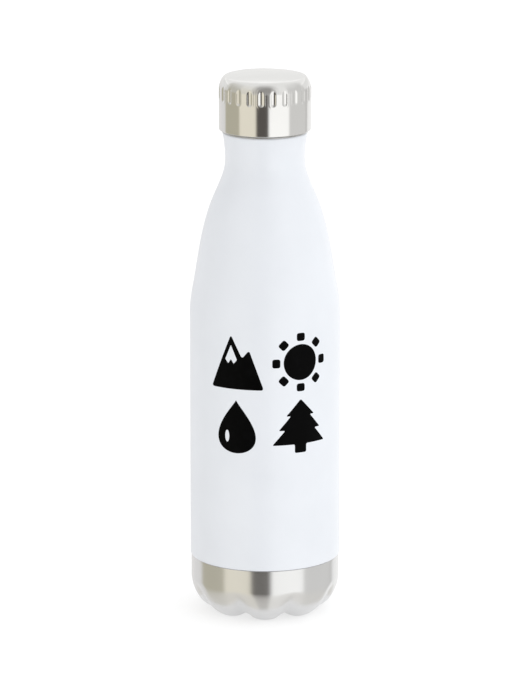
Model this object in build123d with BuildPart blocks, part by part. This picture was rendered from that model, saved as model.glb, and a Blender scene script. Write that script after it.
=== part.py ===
"""Insulated water bottle: double-walled steel flask with a petal-shaped base cup and a screw cap.

The frame's origin is the centre of the plane that the bottle stands on, +Z points up its axis,
and -Y is its front. All sizes are in millimetres.
"""
from build123d import *
import os
from math import asin, cos, pi, radians, sin, sqrt

# ---- driving dimensions ---------------------------------------------------------------------
BODY_R = 35.5           # coated outer wall
MOUTH_R = 20.1          # outer wall where it flares to the lip
CAP_R = 21.6            # side of the cap
CAP_BOTTOM = 232.2
CAP_TOP = 258.0
CAP_SHOULDER_Z = 251.8  # where the cap's side starts to curve in
CAP_RIM_R, CAP_RIM_Z = 18.95, 257.3
SEAM_Z = 27.1           # lower edge of the white coat
SHOULDER_Z = 145.0      # where the straight body ends
LIP_Z = 231.8           # top of the mouth's lip

OUTER_WALL = 0.45
LINER_WALL = 0.35
VACUUM_GAP = 2.6        # between the two walls, along the body
LINER_NECK_R = 16.6     # bore of the neck

BASE_R = 35.1           # steel base cup
BASE_TOP = 26.9
BASE_WALL = 0.45
LOBES = 8
CREST_TOP = 15.8        # where a lobe's wall starts to curve in
FOOT_R = 25.4           # radius of the ring of feet

THREAD_PITCH = 4.0
THREAD_TURNS = 2.0
THREAD_START = 220.5    # lower end of the neck's thread
PLUG_R = 15.0
PLUG_BOTTOM = 209.6

FLUTES = 24
FLUTE_PHASE = -4.7      # degrees from the front to the flute nearest to it
FLUTE_LOW, FLUTE_HIGH = 246.4, 254.8
FLUTE_WIDTH, FLUTE_DEPTH = 2.8, 0.45
CAP_WALL = 0.6

LIP_THICKNESS = 0.6
SKIRT_R = BASE_R - BASE_WALL - 0.05  # the outer wall steps in here, inside the base cup
SKIRT_BOTTOM = 18.5
LINER_R = BODY_R - OUTER_WALL - VACUUM_GAP
LINER_BOTTOM = 27.0

os.makedirs("parts", exist_ok=True)


def save(part, name):
    """Label a finished piece and write it as one STEP file."""
    part.label = name
    export_step(part, f"parts/{name}.step")


def shoulder(inset=0.0):
    """Stations (radius, height) of the outer wall's shoulder and neck, moved inwards by inset."""
    stations = ((BODY_R, SHOULDER_Z), (33.6, 160.0), (30.2, 180.0), (24.4, 200.0),
                (18.95, 215.0), (18.85, 222.0), (MOUTH_R, LIP_Z - LIP_THICKNESS))
    return [(radius - inset, height) for radius, height in stations]


UPWARDS, FLARING = (0, 1), (0.22, 1)


def dome_middle(rim_r, rim_z, top_z):
    """Point halfway in along a dome whose centre of curvature lies on the axis."""
    rise = top_z - rim_z
    sphere_r = (rim_r ** 2 + rise ** 2) / (2 * rise)
    drop = abs(sphere_r) - sqrt(sphere_r ** 2 - rim_r ** 2 / 4)
    return (rim_r / 2, top_z - drop if rise > 0 else top_z + drop)


# ---- the bottle's outer wall ----------------------------------------------------------------
def make_outer_body():
    """Straight tube of the outer wall, stepped in at its lower end to take the base cup."""
    inner_r, skirt_inner = BODY_R - OUTER_WALL, SKIRT_R - OUTER_WALL
    with BuildPart() as outer_body:
        with BuildSketch(Plane.XZ):
            with BuildLine():
                Polyline((BODY_R, SHOULDER_Z), (BODY_R, SEAM_Z), (SKIRT_R, SEAM_Z), (SKIRT_R, SKIRT_BOTTOM),
                         (skirt_inner, SKIRT_BOTTOM), (skirt_inner, SEAM_Z + 0.4),
                         (inner_r, SEAM_Z + 0.8), (inner_r, SHOULDER_Z), close=True)
            make_face()
        revolve(axis=Axis.Z)
    save(outer_body.part, "outer_body")


def make_outer_shoulder():
    """Tapered shoulder and neck of the outer wall, welded to the straight tube."""
    outer, inner = shoulder(), shoulder(OUTER_WALL)
    with BuildPart() as outer_shoulder:
        with BuildSketch(Plane.XZ):
            with BuildLine():
                Line(inner[0], outer[0])
                Spline(outer, tangents=[UPWARDS, FLARING])
                Spline(inner, tangents=[UPWARDS, FLARING])
                Line(outer[-1], inner[-1])
            make_face()
        revolve(axis=Axis.Z)
    save(outer_shoulder.part, "outer_shoulder")


def make_outer_bottom():
    """Pan welded into the skirt; its centre dips to take the glass bead that seals the vacuum."""
    rim_r, floor_z, dip_z = SKIRT_R - OUTER_WALL, SKIRT_BOTTOM + 0.1, 15.6
    with BuildPart() as outer_bottom:
        with BuildSketch(Plane.XZ):
            with BuildLine():
                Polyline((1.2, dip_z), (7.0, dip_z), (9.5, floor_z), (rim_r, floor_z),
                         (rim_r, 23.0), (rim_r - 0.6, 23.0), (rim_r - 0.6, floor_z + 0.6),
                         (9.1, floor_z + 0.6), (6.7, dip_z + 0.6), (1.2, dip_z + 0.6), close=True)
            make_face()
        revolve(axis=Axis.Z)
    save(outer_bottom.part, "outer_bottom")

    bead_low, bead_top = dip_z + 0.6, dip_z + 1.9
    with BuildPart() as seal_bead:
        with BuildSketch(Plane.XZ):
            with BuildLine():
                Polyline((0, bead_top), (0, dip_z), (1.2, dip_z), (1.2, bead_low), (3.2, bead_low))
                ThreePointArc((3.2, bead_low), dome_middle(3.2, bead_low, bead_top), (0, bead_top))
            make_face()
        revolve(axis=Axis.Z)
    save(seal_bead.part, "vacuum_seal_bead")


def make_getter():
    """Gas-absorbing pill in a sheet-metal cup, spot-welded to the outer bottom."""
    floor_z, pill_r, place = SKIRT_BOTTOM + 0.7, 4.0, (0, 18.0)
    with BuildPart() as getter_clip:
        with BuildSketch(Plane.XY.offset(floor_z)):
            with Locations(place):
                SlotOverall(16.0, 9.2)
        extrude(amount=0.3)
        with BuildSketch(Plane.XY.offset(floor_z)):
            with Locations(place):
                Circle(pill_r + 0.4)
        extrude(amount=1.5)
        with BuildSketch(Plane.XY.offset(floor_z + 0.3)):
            with Locations(place):
                Circle(pill_r)
        extrude(amount=1.5, mode=Mode.SUBTRACT)
    save(getter_clip.part, "getter_clip")

    with BuildPart() as getter_pill:
        with BuildSketch(Plane.XY.offset(floor_z + 0.3)):
            with Locations(place):
                Circle(pill_r)
        extrude(amount=1.6)
        fillet(getter_pill.faces().sort_by(Axis.Z)[-1].edges(), 0.3)
    save(getter_pill.part, "getter_pill")


# ---- the inner liner ------------------------------------------------------------------------
def thread_ridge(root_r, crest_r, start_z, turns):
    """Helical ridge of trapezoid section that grows from root_r, sunk 0.25 into its wall."""
    outwards = 1 if crest_r > root_r else -1
    sunk_r, root_half, crest_half = root_r - 0.25 * outwards, 0.85, 0.4
    with BuildLine(Plane.XY.offset(start_z), mode=Mode.PRIVATE) as path:
        Helix(pitch=THREAD_PITCH, height=THREAD_PITCH * turns, radius=root_r)
    with BuildSketch(Plane.XZ, mode=Mode.PRIVATE) as section:
        with BuildLine():
            Polyline((sunk_r, start_z - root_half), (sunk_r, start_z + root_half),
                     (crest_r, start_z + crest_half), (crest_r, start_z - crest_half), close=True)
        make_face()
    return sweep(section.sketch, path=path.line, is_frenet=True, mode=Mode.PRIVATE)


def make_liner_body():
    """Straight tube of the inner wall."""
    with BuildPart() as liner_body:
        with BuildSketch(Plane.XY.offset(LINER_BOTTOM)):
            Circle(LINER_R)
            Circle(LINER_R - LINER_WALL, mode=Mode.SUBTRACT)
        extrude(amount=SHOULDER_Z - LINER_BOTTOM)
    save(liner_body.part, "liner_body")


def make_liner_neck():
    """Inner shoulder and neck, with the rolled lip and the thread that holds the cap."""
    neck_out = LINER_NECK_R + LINER_WALL
    outer = shoulder(BODY_R - LINER_R)[:4] + [(neck_out, 216.0)]
    inner = [(radius - LINER_WALL, height) for radius, height in outer]
    lip_low, lip_r = LIP_Z - LIP_THICKNESS, MOUTH_R + 0.1
    with BuildPart() as liner_neck:
        with BuildSketch(Plane.XZ):
            with BuildLine():
                Line(inner[0], outer[0])
                Spline(outer, tangents=[UPWARDS, UPWARDS])
                Spline(inner, tangents=[UPWARDS, UPWARDS])
                Polyline(outer[-1], (neck_out, lip_low), (lip_r, lip_low), (lip_r, LIP_Z),
                         (LINER_NECK_R, LIP_Z), inner[-1])
            make_face()
        revolve(axis=Axis.Z)
        rims = liner_neck.edges().filter_by(GeomType.CIRCLE).group_by(Axis.Z)[-1]
        fillet(rims, 0.25)
        add(thread_ridge(LINER_NECK_R, LINER_NECK_R - 1.1, THREAD_START, THREAD_TURNS))
    save(liner_neck.part, "liner_neck")


def make_inner_bottom():
    """Dished pan welded to the lower end of the liner."""
    floor_z, corner, inner_r = 22.8, 3.0, LINER_R - LINER_WALL
    flat_r, top_z = LINER_R - corner, floor_z + LINER_WALL
    with BuildPart() as inner_bottom:
        with BuildSketch(Plane.XZ):
            with BuildLine():
                low_dome = dome_middle(flat_r, floor_z, floor_z + 1.0)
                ThreePointArc((0, floor_z + 1.0), low_dome, (flat_r, floor_z))
                RadiusArc((flat_r, floor_z), (LINER_R, floor_z + corner), -corner)
                Polyline((LINER_R, floor_z + corner), (LINER_R, LINER_BOTTOM), (inner_r, LINER_BOTTOM),
                         (inner_r, floor_z + corner))
                RadiusArc((inner_r, floor_z + corner), (flat_r, top_z), corner - LINER_WALL)
                ThreePointArc((flat_r, top_z), dome_middle(flat_r, top_z, top_z + 1.0), (0, top_z + 1.0))
                Line((0, top_z + 1.0), (0, floor_z + 1.0))
            make_face()
        revolve(axis=Axis.Z)
    save(inner_bottom.part, "inner_bottom")


def make_heat_foil():
    """One wrap of copper foil round the straight part of the liner."""
    with BuildPart() as heat_foil:
        with BuildSketch(Plane.XY.offset(30.0)):
            Circle(LINER_R + 0.2)
            Circle(LINER_R + 0.05, mode=Mode.SUBTRACT)
        extrude(amount=SHOULDER_Z - 33.0)
    save(heat_foil.part, "copper_foil")


# ---- the petal-shaped base cup --------------------------------------------------------------
def crest_radius(height):
    """Radius of a lobe's crest: a superellipse from the wall in to the ring of feet."""
    turn = asin((1 - min(height / CREST_TOP, 1.0)) ** (1 / 1.22))
    return FOOT_R + (BASE_R - FOOT_R) * cos(turn) ** 1.22


def lobed_body(inset, lift):
    """Solid with eight lobes, from the valley floor up to the cup's top."""
    valley = ((22.0, 2.9), (25.4, 3.6), (28.0, 5.0), (31.5, 9.0), (33.7, 12.5), (BASE_R, 16.5))
    half = radians(180 / LOBES)
    with BuildPart() as body:
        for valley_r, height in valley:
            crest, hollow = crest_radius(height) - inset, valley_r - inset
            with BuildSketch(Plane.XY.offset(height + lift)):
                with BuildLine():
                    for lobe in range(LOBES):
                        centre = 2 * half * lobe - pi / 2
                        low, high = centre - half, centre + half
                        ThreePointArc((hollow * cos(low), hollow * sin(low)),
                                      (crest * cos(centre), crest * sin(centre)),
                                      (hollow * cos(high), hollow * sin(high)))
                make_face()
        loft()
        with BuildSketch(Plane.XY.offset(valley[-1][1] + lift)):
            Circle(BASE_R - inset)
        extrude(amount=BASE_TOP - valley[-1][1] - lift)
    return body.part


def foot_stack(inset, lift):
    """Eight rounded feet below the valley floor, each with a small flat to stand on."""
    stations = ((21.4, 8.0, 2.9), (22.2, 6.3, 1.5), (22.9, 4.5, 0.65), (23.4, 2.4, 0.0))
    with BuildPart() as feet:
        for centre_r, radius, height in stations:
            with BuildSketch(Plane.XY.offset(height + lift)):
                with Locations((0, -centre_r)):
                    Circle(radius - inset)
        loft()
    return feet.part


def make_base_cup():
    outer, hollow = lobed_body(0.0, 0.0), lobed_body(BASE_WALL, 0.5)
    foot, foot_hollow = foot_stack(0.0, 0.0), foot_stack(0.7, 0.5)
    with BuildPart() as base_cup:
        add(outer)
        with PolarLocations(0, LOBES):
            add(foot)
        add(hollow, mode=Mode.SUBTRACT)
        with PolarLocations(0, LOBES):
            add(foot_hollow, mode=Mode.SUBTRACT)
    save(base_cup.part, "base_cup")


# ---- the cap --------------------------------------------------------------------------------
def cap_form(inset, flute_inset, bottom):
    """Solid shape of the cap: straight side, curved shoulder, slightly domed top, flutes."""
    side, rim = CAP_R - inset, CAP_RIM_R - inset * 0.6
    rim_z, bulge = CAP_RIM_Z - inset, 0.63
    shoulder_mid = (rim + (side - rim) * bulge, CAP_SHOULDER_Z + (rim_z - CAP_SHOULDER_Z) * bulge)
    flute_r = FLUTE_WIDTH ** 2 / (8 * FLUTE_DEPTH) + FLUTE_DEPTH / 2
    centre_r = CAP_R - FLUTE_DEPTH + flute_r
    low, high = FLUTE_LOW + FLUTE_WIDTH / 2, FLUTE_HIGH - FLUTE_WIDTH / 2
    with BuildPart() as form:
        with BuildSketch(Plane.XZ):
            with BuildLine():
                Polyline((0, CAP_TOP - inset), (0, bottom), (side, bottom), (side, CAP_SHOULDER_Z))
                ThreePointArc((side, CAP_SHOULDER_Z), shoulder_mid, (rim, rim_z))
                ThreePointArc((rim, rim_z), dome_middle(rim, rim_z, CAP_TOP - inset), (0, CAP_TOP - inset))
            make_face()
        revolve(axis=Axis.Z)
        for flute in range(FLUTES):
            angle = radians(-90 + FLUTE_PHASE + 360 / FLUTES * flute)
            x, y = centre_r * cos(angle), centre_r * sin(angle)
            with BuildSketch(Plane.XY.offset(low)):
                with Locations((x, y)):
                    Circle(flute_r + flute_inset)
            extrude(amount=high - low, mode=Mode.SUBTRACT)
            with Locations((x, y, low), (x, y, high)):
                Sphere(flute_r + flute_inset, mode=Mode.SUBTRACT)
    return form.part


def make_cap_shell():
    outer, hollow = cap_form(0.0, 0.0, CAP_BOTTOM), cap_form(CAP_WALL, CAP_WALL, CAP_BOTTOM)
    with BuildPart() as cap_shell:
        add(outer)
        add(hollow, mode=Mode.SUBTRACT)
        lower_edge = cap_shell.edges().filter_by(GeomType.CIRCLE).group_by(Axis.Z)[0]
        fillet(lower_edge.sort_by(SortBy.RADIUS)[-1], 0.35)
    save(cap_shell.part, "cap_shell")


def make_cap_insert():
    """Plastic cup glued into the steel shell; its step holds the plug's flange."""
    low, step, flute_zone, top = CAP_BOTTOM + 0.4, 236.4, 245.0, 256.4
    with BuildPart() as cap_insert:
        with BuildSketch(Plane.XZ):
            with BuildLine():
                Polyline((0, top), (17.9, top), (20.1, 253.0), (20.1, flute_zone), (20.95, flute_zone),
                         (20.95, low), (19.5, low), (19.5, step), (18.7, step), (18.7, top - 1.6),
                         (0, top - 1.6), close=True)
            make_face()
        revolve(axis=Axis.Z)
    save(cap_insert.part, "cap_insert")

    with BuildPart() as cap_foam:
        with BuildSketch(Plane.XY.offset(step + 0.1)):
            Circle(18.5)
        extrude(amount=top - 1.8 - step)
        chamfer(cap_foam.edges().filter_by(GeomType.CIRCLE).sort_by(Axis.Z)[-1], 1.0)
    save(cap_foam.part, "cap_foam")


def make_plug():
    """Hollow threaded stopper with its flange, the disc that closes it, its foam and its seal."""
    wall, floor, flange_low, flange_top, flange_r = 1.8, 211.0, 234.4, 236.4, 19.4
    seal_seat, bore = 16.8, PLUG_R - 1.8
    with BuildPart() as threaded_plug:
        with BuildSketch(Plane.XZ):
            with BuildLine():
                Polyline((bore, floor), (PLUG_R, floor), (PLUG_R, 231.0), (seal_seat, 232.6),
                         (seal_seat, flange_low), (flange_r, flange_low), (flange_r, flange_top),
                         (bore, flange_top), close=True)
            make_face()
        revolve(axis=Axis.Z)
        add(thread_ridge(PLUG_R, PLUG_R + 1.2, THREAD_START - 1.5 * THREAD_PITCH, THREAD_TURNS + 1.25))
    save(threaded_plug.part, "threaded_plug")

    with BuildPart() as plug_cover:
        with BuildSketch(Plane.XZ):
            with BuildLine():
                Polyline((0, PLUG_BOTTOM), (PLUG_R - 0.8, PLUG_BOTTOM), (PLUG_R, PLUG_BOTTOM + 0.8),
                         (PLUG_R, floor), (bore, floor), (bore, floor + wall), (bore - 1.2, floor + wall),
                         (bore - 1.2, floor), (0, floor), close=True)
            make_face()
        revolve(axis=Axis.Z)
    save(plug_cover.part, "plug_cover")

    with BuildPart() as plug_foam:
        with BuildSketch(Plane.XZ):
            with BuildLine():
                Polyline((0, floor + 0.5), (bore - 1.6, floor + 0.5), (bore - 1.6, floor + wall + 0.4),
                         (bore - 0.4, floor + wall + 0.4), (bore - 0.4, flange_top - 0.5),
                         (0, flange_top - 0.5), close=True)
            make_face()
        revolve(axis=Axis.Z)
    save(plug_foam.part, "plug_foam")

    with BuildPart() as sealing_ring:
        with BuildSketch(Plane.XZ):
            with Locations(((seal_seat + flange_r) / 2, (LIP_Z + 0.05 + flange_low) / 2)):
                Rectangle(flange_r - seal_seat - 0.1, flange_low - LIP_Z - 0.05)
        revolve(axis=Axis.Z)
        fillet(sealing_ring.edges().filter_by(GeomType.CIRCLE).group_by(Axis.Z)[0], 0.5)
    save(sealing_ring.part, "sealing_ring")


make_outer_body()
make_outer_shoulder()
make_outer_bottom()
make_getter()
make_liner_body()
make_liner_neck()
make_inner_bottom()
make_heat_foil()
make_base_cup()
make_cap_shell()
make_cap_insert()
make_plug()
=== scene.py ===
"""Looks for the insulated water bottle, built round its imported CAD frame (metres, +Z up, -Y front)."""
from math import cos, pi, radians, sin, sqrt

import bmesh
import bpy
import numpy as np
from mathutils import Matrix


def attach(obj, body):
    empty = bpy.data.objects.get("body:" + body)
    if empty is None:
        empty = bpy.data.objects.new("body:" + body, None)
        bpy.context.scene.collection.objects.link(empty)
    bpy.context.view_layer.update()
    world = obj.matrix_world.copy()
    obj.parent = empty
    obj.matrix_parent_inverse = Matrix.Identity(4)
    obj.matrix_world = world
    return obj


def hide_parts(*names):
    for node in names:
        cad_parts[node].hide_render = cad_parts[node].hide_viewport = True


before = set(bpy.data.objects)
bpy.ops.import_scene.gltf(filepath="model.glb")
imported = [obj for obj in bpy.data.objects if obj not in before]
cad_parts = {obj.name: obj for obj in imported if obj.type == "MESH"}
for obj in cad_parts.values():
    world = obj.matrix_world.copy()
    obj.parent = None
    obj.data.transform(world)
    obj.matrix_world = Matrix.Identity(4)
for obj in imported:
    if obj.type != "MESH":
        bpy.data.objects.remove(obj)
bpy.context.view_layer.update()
MM = 0.001

# ---- sizes in millimetres, the same as the CAD model's --------------------------------------
BODY_R, SEAM_Z, SHOULDER_Z = 35.5, 27.1, 145.0
SHOULDER = ((SHOULDER_Z, BODY_R), (160.0, 33.6), (180.0, 30.2), (200.0, 24.4),
            (215.0, 18.95), (222.0, 18.85), (231.2, 20.1))
OUTER_WALL, LINER_INSET, LINER_WALL = 0.45, 3.05, 0.35
LIP_Z, LIP_R, NECK_BORE = 231.8, 20.2, 16.6
BASE_R, BASE_TOP, BASE_WALL, LOBES = 35.1, 26.9, 0.45, 8
SKIRT_R, SKIRT_FOOT = BASE_R - 0.5, 18.5  # where the coated wall steps in under the cup
CREST_TOP, FOOT_R, DOME_Z = 15.8, 25.4, 3.45
CAP_R, CAP_BOTTOM, CAP_TOP, CAP_WALL = 21.6, 232.2, 258.0, 0.6
CAP_SHOULDER_Z, CAP_RIM_R, CAP_RIM_Z = 251.8, 18.95, 257.3
FLUTES, FLUTE_PHASE = 24, -4.7
FLUTE_LOW, FLUTE_HIGH, FLUTE_WIDTH, FLUTE_DEPTH = 246.4, 254.8, 2.8, 0.45
THREAD_PITCH = 4.0
PLUG_R, PLUG_BOTTOM, COVER_TOP, FLANGE_Z = 15.0, 209.6, 211.0, 234.4
INK_RISE = 0.03
AXIS_R = 0.01  # lathed discs stop this close to the axis


# ---- curves and surfaces of revolution ------------------------------------------------------
def clamped_spline(stations, start_slope, end_slope):
    """Function radius(height) of the smooth curve through the stations with the given end slopes."""
    z = np.array([s[0] for s in stations])
    r = np.array([s[1] for s in stations])
    h, d = np.diff(z), np.diff(r) / np.diff(z)
    n = len(z)
    system, right = np.zeros((n, n)), np.zeros(n)
    system[0, 0] = system[-1, -1] = 1
    right[0], right[-1] = start_slope, end_slope
    for i in range(1, n - 1):
        system[i, i - 1], system[i, i], system[i, i + 1] = 1 / h[i - 1], 2 / h[i - 1] + 2 / h[i], 1 / h[i]
        right[i] = 3 * (d[i - 1] / h[i - 1] + d[i] / h[i])
    slope = np.linalg.solve(system, right)

    def radius(height):
        i = min(max(int(np.searchsorted(z, height)) - 1, 0), n - 2)
        t = (height - z[i]) / h[i]
        return float((1 + 2 * t) * (1 - t) ** 2 * r[i] + t * (1 - t) ** 2 * h[i] * slope[i]
                     + t * t * (3 - 2 * t) * r[i + 1] + t * t * (t - 1) * h[i] * slope[i + 1])
    return radius


def arc(centre_r, centre_z, radius, start, end, steps=6):
    """Points (r, z) along an arc; angles in degrees, 0 pointing outwards and 90 up."""
    turns = [radians(start + (end - start) * k / steps) for k in range(steps + 1)]
    return [(centre_r + radius * cos(t), centre_z + radius * sin(t)) for t in turns]


def line(start, end, steps):
    return [(start[0] + (end[0] - start[0]) * k / steps, start[1] + (end[1] - start[1]) * k / steps)
            for k in range(steps + 1)]


def mesh_object(name, points, faces, material, body, slot, replaces=()):
    """Smooth-shaded mesh from millimetre points; it rides on a body and stands for CAD nodes."""
    mesh = bpy.data.meshes.new(name)
    mesh.from_pydata([(x * MM, y * MM, z * MM) for x, y, z in points], [], faces)
    mesh.validate()
    work = bmesh.new()
    work.from_mesh(mesh)
    bmesh.ops.remove_doubles(work, verts=work.verts, dist=1e-7)
    bmesh.ops.recalc_face_normals(work, faces=work.faces)
    work.to_mesh(mesh)
    work.free()
    mesh.shade_smooth()
    mesh.materials.append(material)
    piece = bpy.data.objects.new(name, mesh)
    bpy.context.scene.collection.objects.link(piece)
    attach(piece, body)
    if replaces:
        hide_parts(*replaces)
    return piece


def grid_faces(rows, columns, closed_rows):
    """Quads of a grid whose columns wrap round; closed_rows also joins the last row to the first."""
    last = rows if closed_rows else rows - 1
    faces = []
    for row in range(last):
        above = (row + 1) % rows
        for column in range(columns):
            right = (column + 1) % columns
            faces.append((row * columns + column, row * columns + right,
                          above * columns + right, above * columns + column))
    return faces


def lathe(profile, segments=160):
    """Points and faces of a closed profile (r, z) turned round the axis."""
    turns = [2 * pi * k / segments for k in range(segments)]
    points = [(r * cos(t), r * sin(t), z) for r, z in profile for t in turns]
    return points, grid_faces(len(profile), segments, True)


def join(*meshes):
    """One list of points and faces from several."""
    points, faces = [], []
    for more_points, more_faces in meshes:
        shift = len(points)
        points += more_points
        faces += [tuple(index + shift for index in face) for face in more_faces]
    return points, faces


def thread(root_r, crest_r, start_z, turns, per_turn=96):
    """Rounded helical ridge whose ends fade into the wall."""
    outwards = 1 if crest_r > root_r else -1
    height, sunk = abs(crest_r - root_r), 0.2
    section = [(-sunk, -0.95), (0.0, -0.85), (0.55, -0.62), (0.9, -0.38), (1.0, 0.0),
               (0.9, 0.38), (0.55, 0.62), (0.0, 0.85), (-sunk, 0.95)]
    steps = int(turns * per_turn)
    points, faces, wide = [], [], len(section)
    for step in range(steps + 1):
        angle = 2 * pi * turns * step / steps
        fade = min(1.0, min(step, steps - step) / (per_turn / 9))
        fade = sqrt(max(0.0, 1 - (1 - fade) ** 2))
        for rise, across in section:
            lift = rise * height * fade if rise > 0 else rise
            r = root_r + outwards * lift
            z = start_z + THREAD_PITCH * turns * step / steps + across * (0.45 + 0.55 * fade)
            points.append((r * cos(angle), r * sin(angle), z))
    for step in range(steps):
        for k in range(wide):
            a, b = step * wide + k, step * wide + (k + 1) % wide
            faces.append((a, b, b + wide, a + wide))
    faces.append(tuple(range(wide)))
    faces.append(tuple(steps * wide + k for k in reversed(range(wide))))
    return points, faces


# ---- materials ------------------------------------------------------------------------------
class Nodes:
    """Short way to build a node tree."""

    def __init__(self, name):
        self.material = bpy.data.materials.new(name)
        self.material.use_nodes = True
        self.tree = self.material.node_tree
        self.shader = self.tree.nodes["Principled BSDF"]
        self.place = self.add("ShaderNodeTexCoord").outputs["Object"]

    def add(self, kind, **values):
        node = self.tree.nodes.new(kind)
        for key, value in values.items():
            if key in node.inputs:
                node.inputs[key].default_value = value
            else:
                setattr(node, key, value)
        return node

    def link(self, source, target):
        self.tree.links.new(source, target)

    def stretched(self, x, y, z):
        mapping = self.add("ShaderNodeMapping", Scale=(x, y, z))
        self.link(self.place, mapping.inputs["Vector"])
        return mapping.outputs["Vector"]

    def noise(self, vector, scale, detail=3.0, roughness=0.55):
        node = self.add("ShaderNodeTexNoise", Scale=scale, Detail=detail, Roughness=roughness)
        self.link(vector, node.inputs["Vector"])
        return node.outputs["Fac"]

    def span(self, value, low, high, from_low=0.0, from_high=1.0):
        node = self.add("ShaderNodeMapRange")
        node.inputs["From Min"].default_value = from_low
        node.inputs["From Max"].default_value = from_high
        node.inputs["To Min"].default_value = low
        node.inputs["To Max"].default_value = high
        self.link(value, node.inputs["Value"])
        return node.outputs["Result"]

    def mix(self, factor, first, second):
        node = self.add("ShaderNodeMix", data_type="RGBA")
        self.link(factor, node.inputs["Factor"])
        for socket, colour in ((node.inputs[6], first), (node.inputs[7], second)):
            if isinstance(colour, tuple):
                socket.default_value = (*colour, 1)
            else:
                self.link(colour, socket)
        return node.outputs[2]

    def bump(self, height, distance, strength, below=None):
        node = self.add("ShaderNodeBump", Strength=strength, Distance=distance)
        self.link(height, node.inputs["Height"])
        if below is not None:
            self.link(below, node.inputs["Normal"])
        return node.outputs["Normal"]

    def finish(self, colour=None, roughness=None, normal=None, **uniform):
        for socket, source in (("Base Color", colour), ("Roughness", roughness), ("Normal", normal)):
            if source is not None:
                self.link(source, self.shader.inputs[socket])
        for key, value in uniform.items():
            self.shader.inputs[key.replace("_", " ")].default_value = value
        return self.material


def powder_coat():
    """White powder coat: fine orange peel, faint cloudiness, a few handling scuffs."""
    n = Nodes("white_powder_coat")
    peel = n.noise(n.place, 1500.0, 2.0, 0.5)
    swell = n.noise(n.place, 420.0, 2.0, 0.5)
    cloud = n.noise(n.place, 35.0, 3.0)
    colour = n.mix(n.span(cloud, 0.0, 1.0, 0.35, 0.65), (0.765, 0.785, 0.82), (0.785, 0.805, 0.84))
    scuff = n.noise(n.stretched(60, 60, 9), 6.0, 5.0, 0.7)
    roughness = n.span(scuff, 0.29, 0.32, 0.35, 0.7)
    normal = n.bump(peel, 0.00002, 0.35, n.bump(swell, 0.00006, 0.3))
    return n.finish(colour, roughness, normal)


def steel(name, colour, grain, low, high, scratch, brushing=0.0):
    """Stainless steel brushed round the axis: grain lines follow the turning direction."""
    n = Nodes(name)
    lines = n.noise(n.stretched(6, 6, grain), 12.0, 6.0, 0.75)
    patches = n.noise(n.place, 55.0, 4.0, 0.6)
    tint = n.mix(n.span(patches, 0.0, 1.0, 0.3, 0.7), tuple(c * 0.975 for c in colour), colour)
    roughness = n.span(lines, low, high, 0.3, 0.7)
    around = n.add("ShaderNodeTangent", direction_type="RADIAL", axis="Z")
    n.link(around.outputs["Tangent"], n.shader.inputs["Tangent"])
    n.shader.inputs["Anisotropic"].default_value = brushing
    n.shader.inputs["Anisotropic Rotation"].default_value = 0.25
    return n.finish(tint, roughness, n.bump(lines, 0.00001, scratch), Metallic=1.0)


def moulded_plastic(name, dark, light, low=0.38, high=0.5):
    """Moulded polypropylene with a fine spark-eroded grain."""
    n = Nodes(name)
    grain = n.noise(n.place, 2600.0, 2.0)
    cloud = n.noise(n.place, 70.0, 3.0)
    colour = n.mix(n.span(cloud, 0.0, 1.0, 0.3, 0.7), dark, light)
    roughness = n.span(grain, low, high, 0.3, 0.7)
    return n.finish(colour, roughness, n.bump(grain, 0.00003, 0.3), Subsurface_Weight=0.06)


def silicone():
    n = Nodes("silicone_seal")
    dust = n.noise(n.place, 900.0, 5.0, 0.7)
    colour = n.mix(n.span(dust, 0.0, 1.0, 0.45, 0.75), (0.74, 0.75, 0.74), (0.84, 0.84, 0.82))
    return n.finish(colour, n.span(dust, 0.32, 0.5, 0.3, 0.7), n.bump(dust, 0.00002, 0.25),
                    Subsurface_Weight=0.15)


def foam():
    n = Nodes("expanded_foam")
    cells = n.add("ShaderNodeTexVoronoi", Scale=900.0)
    n.link(n.place, cells.inputs["Vector"])
    depth = cells.outputs["Distance"]
    colour = n.mix(n.span(depth, 0.0, 1.0, 0.0, 0.8), (0.86, 0.85, 0.81), (0.72, 0.70, 0.65))
    return n.finish(colour, None, n.bump(depth, 0.0003, 0.6), Roughness=0.9)


def copper():
    n = Nodes("copper_foil")
    crinkle = n.noise(n.stretched(1, 1, 0.6), 160.0, 5.0, 0.6)
    tarnish = n.noise(n.place, 45.0, 4.0)
    colour = n.mix(n.span(tarnish, 0.0, 1.0, 0.35, 0.7), (0.82, 0.42, 0.26), (0.62, 0.28, 0.17))
    return n.finish(colour, n.span(crinkle, 0.16, 0.34), n.bump(crinkle, 0.0002, 0.5), Metallic=1.0)


def fused_glass():
    n = Nodes("solder_glass")
    bubble = n.noise(n.place, 1800.0, 3.0)
    colour = n.mix(n.span(bubble, 0.0, 1.0, 0.4, 0.65), (0.10, 0.13, 0.11), (0.20, 0.25, 0.22))
    return n.finish(colour, n.span(bubble, 0.05, 0.2), n.bump(bubble, 0.00005, 0.3))


def sintered_alloy():
    n = Nodes("sintered_getter")
    grain = n.noise(n.place, 3000.0, 4.0, 0.7)
    colour = n.mix(grain, (0.10, 0.095, 0.09), (0.28, 0.27, 0.26))
    return n.finish(colour, n.span(grain, 0.5, 0.8), n.bump(grain, 0.0001, 0.7), Metallic=0.6)


def print_ink():
    """Thick black screen-print ink: faint mesh pattern of the screen and tiny pinholes."""
    n = Nodes("black_print_ink")
    screen = n.noise(n.place, 2400.0, 2.0)
    wear = n.noise(n.place, 240.0, 5.0, 0.7)
    colour = n.mix(n.span(wear, 0.0, 1.0, 0.45, 0.8), (0.0008, 0.0008, 0.0009), (0.0025, 0.0025, 0.0027))
    return n.finish(colour, n.span(wear, 0.45, 0.6, 0.3, 0.7), n.bump(screen, 0.00002, 0.3),
                    Specular_IOR_Level=0.04)


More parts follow.
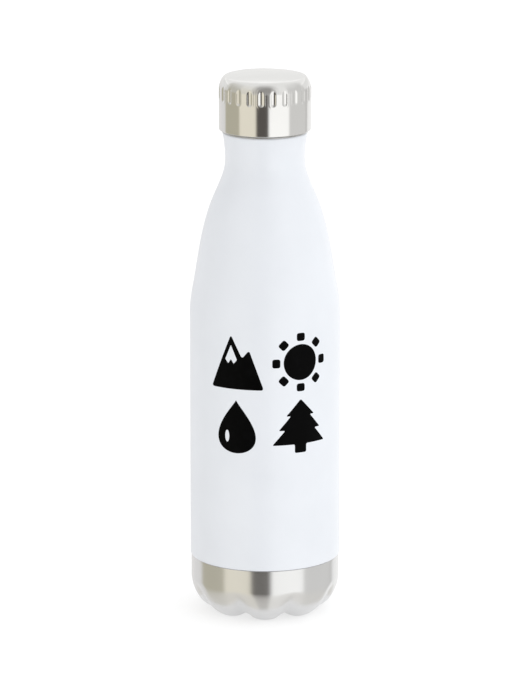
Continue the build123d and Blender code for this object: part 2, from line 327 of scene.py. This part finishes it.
COAT = powder_coat()
CAP_STEEL = steel("polished_cap_steel", (0.75, 0.745, 0.735), 260, 0.10, 0.14, 0.04)
BASE_STEEL = steel("satin_base_steel", (0.735, 0.735, 0.738), 200, 0.22, 0.25, 0.025, 0.8)
LINER_STEEL = steel("electropolished_liner", (0.62, 0.61, 0.60), 120, 0.22, 0.34, 0.3)
RAW_STEEL = steel("mill_steel", (0.50, 0.50, 0.49), 60, 0.35, 0.5, 0.5)
CAP_PLASTIC = moulded_plastic("cap_polypropylene", (0.58, 0.58, 0.56), (0.63, 0.63, 0.61))
PLUG_PLASTIC = moulded_plastic("plug_polypropylene", (0.66, 0.66, 0.64), (0.72, 0.72, 0.70))
SILICONE = silicone()
FOAM = foam()
INK = print_ink()


def dress_cad_node(node, material):
    """Give a CAD node that stays in view its procedural material."""
    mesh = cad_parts[node].data
    mesh.materials.clear()
    mesh.materials.append(material)


for node, material in (("outer_bottom", RAW_STEEL), ("vacuum_seal_bead", fused_glass()),
                       ("getter_clip", RAW_STEEL), ("getter_pill", sintered_alloy()),
                       ("copper_foil", copper()), ("cap_foam", FOAM), ("plug_foam", FOAM),
                       ("inner_bottom", LINER_STEEL)):
    dress_cad_node(node, material)


# ---- the bottle -----------------------------------------------------------------------------
wall_radius = clamped_spline(SHOULDER, 0.0, 0.22)


def shoulder_rows(inset, top, steps=90):
    return [(wall_radius(z) - inset, z)
            for z in (SHOULDER_Z + (top - SHOULDER_Z) * k / steps for k in range(steps + 1))]


def make_outer_shell():
    """Coated wall with a small rounded edge at the seam and the stepped-in skirt under the cup."""
    edge, coat_r = 0.25, BODY_R - INK_RISE
    wall_top = LIP_Z - 0.62
    rows = [(SKIRT_R - OUTER_WALL, SKIRT_FOOT), (SKIRT_R, SKIRT_FOOT), (SKIRT_R, SEAM_Z - 0.02),
            (SKIRT_R + 0.05, SEAM_Z)]
    rows += arc(coat_r - edge, SEAM_Z + edge, edge, -90, 0)
    rows += line((coat_r, SEAM_Z + 1.0), (coat_r, SHOULDER_Z - 0.5), 24)
    rows += shoulder_rows(INK_RISE, wall_top)
    rows += list(reversed(shoulder_rows(OUTER_WALL, wall_top)))
    rows += [(BODY_R - OUTER_WALL, SEAM_Z + 0.8), (SKIRT_R - OUTER_WALL, SEAM_Z + 0.4)]
    mesh_object("coated_outer_wall", *lathe(rows, 192), COAT, "bottle", "white_coat",
                ["outer_body", "outer_shoulder"])


def make_liner():
    """Inner wall with its rolled lip and the neck's thread."""
    neck_z, foot_z, tube_r = 216.0, 27.0, BODY_R - LINER_INSET
    stations = [(z, r - LINER_INSET) for z, r in SHOULDER[:4]] + [(neck_z, NECK_BORE + LINER_WALL)]
    liner = clamped_spline(stations, 0.0, 0.0)
    heights = [SHOULDER_Z + (neck_z - SHOULDER_Z) * k / 60 for k in range(61)]
    roll = 0.28
    rows = line((tube_r, foot_z), (tube_r, SHOULDER_Z - 0.5), 12)
    rows += [(liner(z), z) for z in heights]
    rows += [(NECK_BORE + LINER_WALL, LIP_Z - 0.6)]
    rows += arc(LIP_R - roll, LIP_Z - 0.3, roll, -90, 90)
    rows += arc(NECK_BORE + 0.5, LIP_Z - 0.5, 0.5, 90, 180)
    rows += line((NECK_BORE, LIP_Z - 1.2), (NECK_BORE, neck_z + 0.5), 8)
    rows += [(liner(z) - LINER_WALL, z) for z in reversed(heights)]
    rows += [(tube_r - LINER_WALL, foot_z)]
    mesh_object("steel_liner", *join(lathe(rows), thread(NECK_BORE, NECK_BORE - 1.1, 220.5, 2.0)),
                LINER_STEEL, "bottle", "liner_steel", ["liner_body", "liner_neck"])


# ---- the base cup ---------------------------------------------------------------------------
def crest_radius(z):
    """Radius of a lobe's crest: a superellipse from the wall in to the ring of feet."""
    cosine = sqrt(max(0.0, 1 - ((1 - min(z / CREST_TOP, 1.0)) ** (1 / 1.22)) ** 2))
    return FOOT_R + (BASE_R - FOOT_R) * cosine ** 1.22


VALLEY_FLOOR, WALL_START = 2.9, 16.5
valley_radius = clamped_spline(((VALLEY_FLOOR, 22.0), (3.6, 25.4), (5.0, 28.0), (9.0, 31.5),
                                (12.5, 33.7), (WALL_START, BASE_R)), 7.0, 0.0)


def crest_bottom(t):
    """Crest profile under the valley floor's height, from the lobe's flank in to the centre."""
    stops = ((0.0, crest_radius(VALLEY_FLOOR), VALLEY_FLOOR), (0.12, 27.9, 1.35), (0.25, 25.4, 0.18),
             (0.33, 23.6, 0.02), (0.5, 20.0, 0.9), (0.68, 15.5, 2.5), (0.82, 10.0, 3.2), (1.0, 0.0, DOME_Z))
    r, z = along(stops, t)
    return r, max(z, 0.0)


def valley_bottom(t):
    stops = ((0.0, 22.0, VALLEY_FLOOR), (0.33, 19.2, 2.72), (0.68, 14.5, 2.85), (0.82, 9.7, 3.2),
             (1.0, 0.0, DOME_Z))
    return along(stops, t)


def along(stops, t):
    """Point (r, z) at t on a smooth curve through stops (t, r, z)."""
    places = [s[0] for s in stops]
    i = min(max(int(np.searchsorted(places, t)) - 1, 0), len(stops) - 2)
    u = (t - places[i]) / (places[i + 1] - places[i])

    def slope(k, axis):
        low, high = max(k - 1, 0), min(k + 1, len(stops) - 1)
        return (stops[high][axis] - stops[low][axis]) / (places[high] - places[low])

    span = places[i + 1] - places[i]
    return tuple((1 + 2 * u) * (1 - u) ** 2 * stops[i][axis] + u * (1 - u) ** 2 * span * slope(i, axis)
                 + u * u * (3 - 2 * u) * stops[i + 1][axis] + u * u * (u - 1) * span * slope(i + 1, axis)
                 for axis in (1, 2))


def lobe_blend(turn):
    """0 on a lobe's crest, 1 in the valley beside it; the valley's crease is slightly rounded."""
    power, soften = 2.7, 0.93
    u = abs(turn)
    value = u ** power - (power * (u - soften) ** 2 / (2 * (1 - soften)) if u > soften else 0.0)
    return value / (1 - power * (1 - soften) / 2)


def make_base_cup():
    per_lobe, side_steps, bottom_steps = 32, 44, 40
    columns = LOBES * per_lobe
    edge = 0.2
    rows = []
    for r, z in arc(BASE_R - edge, BASE_TOP - edge, edge, 90, 0, 4) + line((BASE_R, 25.5), (BASE_R, 17.2), 6):
        rows.append([(r, z)] * columns)
    turns = [2 * ((k % per_lobe) / per_lobe) - 1 for k in range(columns)]
    blends = [lobe_blend(turn) for turn in turns]
    for step in range(side_steps + 1):
        z = WALL_START + (VALLEY_FLOOR - WALL_START) * step / side_steps
        crest, valley = crest_radius(z), valley_radius(z)
        rows.append([(crest + (valley - crest) * blend, z) for blend in blends])
    for step in range(1, bottom_steps):
        t = step / bottom_steps
        crest, valley = crest_bottom(t), valley_bottom(t)
        rows.append([(crest[0] + (valley[0] - crest[0]) * blend, crest[1] + (valley[1] - crest[1]) * blend)
                     for blend in blends])
    points = []
    for row in rows:
        for column, (r, z) in enumerate(row):
            angle = -pi / 2 + 2 * pi * (column - per_lobe / 2) / columns
            points.append((r * cos(angle), r * sin(angle), z))
    faces = grid_faces(len(rows), columns, False)
    centre = len(points)
    points.append((0, 0, DOME_Z))
    last = (len(rows) - 1) * columns
    faces += [(last + column, last + (column + 1) % columns, centre) for column in range(columns)]
    cup = mesh_object("petal_base_cup", points, faces, BASE_STEEL, "bottle", "brushed_cup", ["base_cup"])
    solid = cup.modifiers.new("wall", "SOLIDIFY")
    solid.thickness, solid.offset = BASE_WALL * MM, -1


# ---- the cap --------------------------------------------------------------------------------
def cap_profile():
    """Outer profile of the cap shell from its rolled lower edge to the centre of the top."""
    rolled, roundness = 0.35, 1.35
    rows = arc(CAP_R - rolled, CAP_BOTTOM + rolled, rolled, -90, 0, 5)
    rows += line((CAP_R, 233.2), (CAP_R, FLUTE_LOW - 0.6), 8)
    rows += line((CAP_R, FLUTE_LOW - 0.35), (CAP_R, CAP_SHOULDER_Z), 30)
    for k in range(1, 25):
        t = radians(90 * k / 24)
        rows.append((CAP_RIM_R + (CAP_R - CAP_RIM_R) * cos(t) ** roundness if k < 24 else CAP_RIM_R,
                     CAP_SHOULDER_Z + (CAP_RIM_Z - CAP_SHOULDER_Z) * sin(t) ** roundness))
    for k in range(1, 16):
        r = CAP_RIM_R * (1 - k / 16)
        rows.append((r, CAP_TOP - (CAP_TOP - CAP_RIM_Z) * (r / CAP_RIM_R) ** 2))
    return rows


def fluted_radius(r, z, turn):
    """Radius after the nearest flute's round-ended groove is pressed in; edges are softened."""
    groove_r = FLUTE_WIDTH ** 2 / (8 * FLUTE_DEPTH) + FLUTE_DEPTH / 2
    centre_r = CAP_R - FLUTE_DEPTH + groove_r
    low, high = FLUTE_LOW + FLUTE_WIDTH / 2, FLUTE_HIGH - FLUTE_WIDTH / 2
    beyond = max(low - z, z - high, 0.0)
    reach = groove_r ** 2 - beyond ** 2 - (centre_r * sin(turn)) ** 2
    if reach <= 0 or r < CAP_R - 3:
        return r
    pressed, soft = centre_r * cos(turn) - sqrt(reach), 0.05
    gap = r - pressed
    return r - (gap + sqrt(gap * gap + soft * soft) - soft) / 2 if gap > -1 else r


def make_cap_shell():
    per_flute = 30
    columns = FLUTES * per_flute
    points, profile = [], cap_profile()
    for r, z in profile:
        for column in range(columns):
            turn = 2 * pi / FLUTES * ((column % per_flute) / per_flute - 0.5)
            angle = radians(-90 + FLUTE_PHASE) + 2 * pi * (column - per_flute / 2) / columns
            wide = fluted_radius(r, z, turn)
            points.append((wide * cos(angle), wide * sin(angle), z))
    faces = grid_faces(len(profile), columns, False)
    centre, last = len(points), (len(profile) - 1) * columns
    points.append((0, 0, CAP_TOP))
    faces += [(last + column, last + (column + 1) % columns, centre) for column in range(columns)]
    cap = mesh_object("fluted_cap", points, faces, CAP_STEEL, "cap", "polished_cap", ["cap_shell"])
    solid = cap.modifiers.new("wall", "SOLIDIFY")
    solid.thickness, solid.offset = CAP_WALL * MM, -1


def make_cap_inside():
    """Plastic insert, threaded plug, its cover and the silicone ring."""
    low, step, round_r = CAP_BOTTOM + 0.4, 236.4, 0.3
    insert_r, insert_bore, hollow_r, roof, ceiling = 20.95, 19.5, 18.7, 256.4, 254.8
    rows = arc(insert_r - round_r, low + round_r, round_r, -90, 0)
    rows += [(insert_r, 245.0), (20.1, 245.4), (20.1, 253.0), (17.9, roof), (AXIS_R, roof),
             (AXIS_R, ceiling), (hollow_r, ceiling), (hollow_r, step), (insert_bore, step)]
    rows += arc(insert_bore + round_r, low + round_r, round_r, 180, 270)
    mesh_object("cap_liner_cup", *lathe(rows, 128), CAP_PLASTIC, "cap", "cap_plastic", ["cap_insert"])

    bore = PLUG_R - 1.8
    rows = [(bore, COVER_TOP), (PLUG_R, COVER_TOP), (PLUG_R, 230.6)]
    rows += arc(PLUG_R + 1.3, 230.9, 1.3, 180, 130, 5) + [(16.3, 232.1)]
    rows += arc(16.5, 232.6, 0.3, -60, 0, 4) + [(16.8, FLANGE_Z), (19.1, FLANGE_Z)]
    rows += arc(19.15, 234.65, 0.25, -90, 0, 4) + arc(19.15, 236.15, 0.25, 0, 90, 4) + [(bore, step)]
    mesh_object("threaded_stopper", *join(lathe(rows, 128), thread(PLUG_R, PLUG_R + 1.2, 214.5, 3.25)),
                PLUG_PLASTIC, "cap", "plug_plastic", ["threaded_plug"])

    lug_r, lug_top, round_r = bore - 1.2, 212.8, 0.9
    rows = [(AXIS_R, PLUG_BOTTOM + 0.25), (8.0, PLUG_BOTTOM + 0.25), (8.3, PLUG_BOTTOM)]
    rows += arc(PLUG_R - round_r, PLUG_BOTTOM + round_r, round_r, -90, 0)
    rows += [(PLUG_R, 210.8), (PLUG_R - 0.15, 210.98), (bore, COVER_TOP), (bore, lug_top),
             (lug_r, lug_top), (lug_r, COVER_TOP), (AXIS_R, COVER_TOP)]
    mesh_object("stopper_cover", *lathe(rows, 128), PLUG_PLASTIC, "cap", "plug_plastic", ["plug_cover"])

    inner, outer, bottom, top, soft = 16.85, 19.35, LIP_Z + 0.05, FLANGE_Z, 0.55
    rows = arc(outer - soft, bottom + soft, soft, -90, 0) + arc(outer - 0.2, top - 0.2, 0.2, 0, 90, 3)
    rows += arc(inner + 0.2, top - 0.2, 0.2, 90, 180, 3) + arc(inner + soft, bottom + soft, soft, 180, 270)
    mesh_object("lip_seal", *lathe(rows, 128), SILICONE, "cap", "silicone", ["sealing_ring"])


# ---- the print ------------------------------------------------------------------------------
def rounded(corners, radius, steps=6):
    """Closed outline with each corner replaced by an arc-like curve."""
    outline, count = [], len(corners)
    for k in range(count):
        before, here, after = (np.array(corners[(k + d) % count], float) for d in (-1, 0, 1))
        to_before, to_after = before - here, after - here
        cut = min(radius, np.linalg.norm(to_before) * 0.45, np.linalg.norm(to_after) * 0.45)
        start = here + to_before / np.linalg.norm(to_before) * cut
        end = here + to_after / np.linalg.norm(to_after) * cut
        for step in range(steps + 1):
            t = step / steps
            outline.append(tuple((1 - t) ** 2 * start + 2 * t * (1 - t) * here + t * t * end))
    return outline


def disc(x, y, radius, steps=48):
    turns = [2 * pi * k / steps for k in range(steps)]
    return [(x + radius * cos(t), y + radius * sin(t)) for t in turns]


def peaks(x, y):
    """Two mountain peaks, 25 mm wide, with a notch of snow cut from the taller one."""
    return [rounded([(x - 13.4, y - 12.7), (x - 2.6, y + 13.2), (x + 3.0, y + 2.2), (x + 6.4, y + 6.4),
                     (x + 13.4, y - 12.7)], 1.6),
            rounded([(x - 5.6, y + 1.4), (x - 2.6, y + 8.4), (x + 0.5, y + 1.4), (x - 1.2, y - 0.6),
                     (x - 2.6, y + 1.6), (x - 4.0, y - 0.6)], 0.5)]


def sun(x, y):
    """Disc with eight short rays."""
    shapes = [disc(x, y, 8.6)]
    for ray in range(8):
        turn = radians(45 * ray)
        out, side = (cos(turn), sin(turn)), (-sin(turn), cos(turn))
        shapes.append(rounded([(x + out[0] * d + side[0] * w, y + out[1] * d + side[1] * w)
                               for d, w in ((10.2, -2.1), (14.0, -2.1), (14.0, 2.1), (10.2, 2.1))], 1.2))
    return shapes


def drop(x, y):
    """Water drop with a highlight cut out of it."""
    outline = []
    for k in range(60):
        t = 2 * pi * k / 60
        outline.append((x + 13.2 * sin(t) * sin(t / 2) ** 1.3, y + 12.8 * cos(t) - 0.2))
    light = [(x - 4.6 + 1.1 * cos(t), y - 5.0 + 2.9 * sin(t)) for t in (2 * pi * k / 24 for k in range(24))]
    return [outline, light]


def pine(x, y):
    """Pine tree of three tiers on a trunk."""
    right = [(0.0, 12.9), (7.4, 5.0), (5.0, 5.0), (11.0, -1.8), (7.8, -1.8), (14.0, -8.8),
             (3.0, -8.8), (3.0, -13.0)]
    left = [(-px, py) for px, py in reversed(right[1:])]
    return [rounded([(x + px, y + py) for px, py in right + left], 0.9)]


PRINT_LEFT, PRINT_RIGHT = -32, 36  # the strips are 1 mm wide and reach past every mark


def printed_mark(name, outlines):
    """Ink film wrapped on the body: flat outlines filled, sliced into narrow strips and bent round it."""
    curve = bpy.data.curves.new(name, "CURVE")
    curve.dimensions, curve.fill_mode = "2D", "BOTH"
    for outline in outlines:
        spline = curve.splines.new("POLY")
        spline.points.add(len(outline) - 1)
        for point, (x, y) in zip(spline.points, outline):
            point.co = (x, y, 0, 1)
        spline.use_cyclic_u = True
    flat = bpy.data.objects.new(name + "_flat", curve)
    bpy.context.scene.collection.objects.link(flat)
    bpy.context.view_layer.update()
    mesh = bpy.data.meshes.new_from_object(flat.evaluated_get(bpy.context.evaluated_depsgraph_get()))
    bpy.data.objects.remove(flat)
    work = bmesh.new()
    work.from_mesh(mesh)
    for cut in range(PRINT_LEFT, PRINT_RIGHT + 1):
        geometry = work.verts[:] + work.edges[:] + work.faces[:]
        bmesh.ops.bisect_plane(work, geom=geometry, plane_co=(cut, 0, 0), plane_no=(1, 0, 0))
    bmesh.ops.remove_doubles(work, verts=work.verts, dist=0.001)
    bmesh.ops.dissolve_degenerate(work, edges=work.edges, dist=0.001)
    raised = bmesh.ops.extrude_face_region(work, geom=work.faces[:])
    top = {v for v in raised["geom"] if isinstance(v, bmesh.types.BMVert)}
    for vertex in work.verts:
        angle, radius = vertex.co.x / BODY_R - pi / 2, BODY_R if vertex in top else BODY_R - 2 * INK_RISE
        vertex.co = (radius * cos(angle), radius * sin(angle), vertex.co.y)
    points = [tuple(v.co) for v in work.verts]
    work.verts.index_update()
    faces = [tuple(v.index for v in face.verts) for face in work.faces]
    work.free()
    film = mesh_object(name, points, faces, INK, "bottle", "white_coat")
    film.data.shade_flat()


def make_print():
    left, right, upper, lower = -13.9, 17.4, 127.6, 97.0
    for name, shapes in (("print_peaks", peaks(left, upper)), ("print_sun", sun(right, upper)),
                         ("print_drop", drop(left, lower)), ("print_pine", pine(right, lower))):
        printed_mark(name, shapes)


make_outer_shell()
make_liner()
make_base_cup()
make_cap_shell()
make_cap_inside()
make_print()


# ---- floor, light and camera ----------------------------------------------------------------
def make_floor():
    """Pale sweep; only the patch under the bottle shows in the steel, so the base darkens near it."""
    n = Nodes("pale_floor")
    paper = n.noise(n.place, 8.0, 3.0)
    material = n.finish(n.mix(paper, (0.51, 0.51, 0.51), (0.53, 0.53, 0.53)), None, None, Roughness=0.9,
                        Emission_Color=(1, 1, 1, 1), Emission_Strength=0.56)
    turns, patch_r, floor_r = [2 * pi * k / 96 for k in range(96)], 0.036, 4.0
    rings = [(r * cos(t), r * sin(t), 0.0) for r in (patch_r, floor_r) for t in turns]
    for name, points, faces in (("studio_floor", rings, grid_faces(2, 96, False)),
                                ("studio_floor_patch", rings[:96], [tuple(range(96))])):
        mesh = bpy.data.meshes.new(name)
        mesh.from_pydata(points, [], faces)
        mesh.materials.append(material)
        floor = bpy.data.objects.new(name, mesh)
        bpy.context.scene.collection.objects.link(floor)
        floor.visible_glossy = name.endswith("patch")


# Studio seen in the steel, by bearing from the camera's side (degrees, positive to the right):
# the bearing where each band starts, and its colour.
BANDS = ((-180, 0.88, 0.87, 0.86), (-117, 0.555, 0.527, 0.42), (-67, 0.97, 0.92, 0.78),
         (-22, 0.115, 0.105, 0.095), (9, 1.27, 1.27, 1.25), (63, 0.79, 0.785, 0.77),
         (122, 0.64, 0.63, 0.62), (130, 1.05, 1.05, 1.04))
BAND_TOP, BAND_FOOT = 0.5, -0.5  # heights on the unit sphere where the bands stop
TENT_HALF_WIDTH, TENT_TOP = 28, 0.87  # the dark flag over the camera reaches higher than the bands


def make_world():
    """White light for diffuse surfaces, and a studio of soft boxes and dark flags in reflections."""
    world = bpy.data.worlds.new("studio")
    bpy.context.scene.world = world
    world.use_nodes = True
    tree = world.node_tree
    tree.nodes.clear()

    def add(kind, **values):
        node = tree.nodes.new(kind)
        for key, value in values.items():
            setattr(node, key, value)
        return node

    def math(operation, first, second=None):
        node = add("ShaderNodeMath", operation=operation)
        for socket, value in zip(node.inputs, (first, second)):
            if value is None:
                continue
            if isinstance(value, (int, float)):
                socket.default_value = value
            else:
                tree.links.new(value, socket)
        return node.outputs[0]

    def fade(value, low, high):
        node = add("ShaderNodeMapRange")
        node.inputs["From Min"].default_value, node.inputs["From Max"].default_value = low, high
        tree.links.new(value, node.inputs["Value"])
        return node.outputs["Result"]

    def blend(factor, first, second):
        node = add("ShaderNodeMix", data_type="RGBA")
        tree.links.new(factor, node.inputs["Factor"])
        for socket, colour in ((node.inputs[6], first), (node.inputs[7], second)):
            if isinstance(colour, tuple):
                socket.default_value = (*colour, 1)
            else:
                tree.links.new(colour, socket)
        return node.outputs[2]

    direction = add("ShaderNodeSeparateXYZ")
    tree.links.new(add("ShaderNodeTexCoord").outputs["Generated"], direction.inputs[0])
    x, y, z = direction.outputs
    bearing = math("ARCTAN2", x, math("MULTIPLY", y, -1.0))
    ramp, soft = add("ShaderNodeValToRGB"), 3.0 / 360
    stops = ramp.color_ramp.elements
    stops[0].position, stops[0].color = 0.0, (*BANDS[0][1:], 1)
    stops.remove(stops[1])
    for before, band in zip(BANDS, BANDS[1:]):
        edge = (band[0] + 180) / 360
        stops.new(edge - soft).color = (*before[1:], 1)
        stops.new(edge + soft).color = (*band[1:], 1)
    tree.links.new(math("ADD", math("DIVIDE", bearing, 2 * pi), 0.5), ramp.inputs["Fac"])

    aside = math("ABSOLUTE", bearing)
    bands = blend(math("MULTIPLY", fade(z, 0.0, 0.12), 0.45), ramp.outputs["Color"], (0.72, 0.72, 0.71))
    colour = blend(fade(z, BAND_TOP - 0.15, BAND_TOP + 0.3), bands, (1.0, 1.0, 0.99))
    tent = math("MULTIPLY", fade(z, 0.0, 0.35), math("MULTIPLY", fade(z, TENT_TOP + 0.08, TENT_TOP - 0.27),
                                                    fade(aside, radians(TENT_HALF_WIDTH + 10),
                                                         radians(TENT_HALF_WIDTH - 15))))
    colour = blend(tent, colour, (0.38, 0.37, 0.355))
    behind = math("MULTIPLY", fade(aside, radians(105), radians(120)), fade(z, 0.0, 0.06))
    lamp = math("MULTIPLY", fade(z, 0.305, 0.313), fade(z, 0.347, 0.339))
    wall = blend(fade(z, 0.31, 0.34), (0.96, 0.96, 0.95), (1.06, 1.06, 1.05))
    colour = blend(behind, colour, blend(lamp, wall, (1.32, 1.32, 1.31)))
    ground = add("ShaderNodeMix", data_type="RGBA")
    ground.inputs["Factor"].default_value = 0.24
    ground.inputs[6].default_value = (0.84, 0.82, 0.78, 1)
    tree.links.new(ramp.outputs["Color"], ground.inputs[7])
    colour = blend(fade(z, BAND_FOOT + 0.05, BAND_FOOT - 0.05), colour, ground.outputs[2])

    studio, even = add("ShaderNodeBackground"), add("ShaderNodeBackground")
    tree.links.new(colour, studio.inputs["Color"])
    tree.links.new(blend(fade(x, -1.0, 1.0), (0.74, 0.735, 0.73), (1.32, 1.34, 1.36)), even.inputs["Color"])
    choose = add("ShaderNodeMixShader")
    tree.links.new(add("ShaderNodeLightPath").outputs["Is Glossy Ray"], choose.inputs["Fac"])
    tree.links.new(even.outputs[0], choose.inputs[1])
    tree.links.new(studio.outputs[0], choose.inputs[2])
    tree.links.new(choose.outputs[0], add("ShaderNodeOutputWorld").inputs["Surface"])


CAMERA_LENS, CAMERA_PLACE, CAMERA_TILT = 250.7, (0.0, -2.2, 0.67366), 0.243  # mm, m, radians down


def make_camera():
    data = bpy.data.cameras.new("photo_camera")
    data.lens, data.clip_end = CAMERA_LENS, 20.0
    camera = bpy.data.objects.new("photo_camera", data)
    camera.location = CAMERA_PLACE
    camera.rotation_euler = (radians(90) - CAMERA_TILT, 0, 0)
    bpy.context.scene.collection.objects.link(camera)
    bpy.context.scene.camera = camera


make_floor()
make_world()
make_camera()
bpy.context.scene.view_settings.view_transform = "Standard"
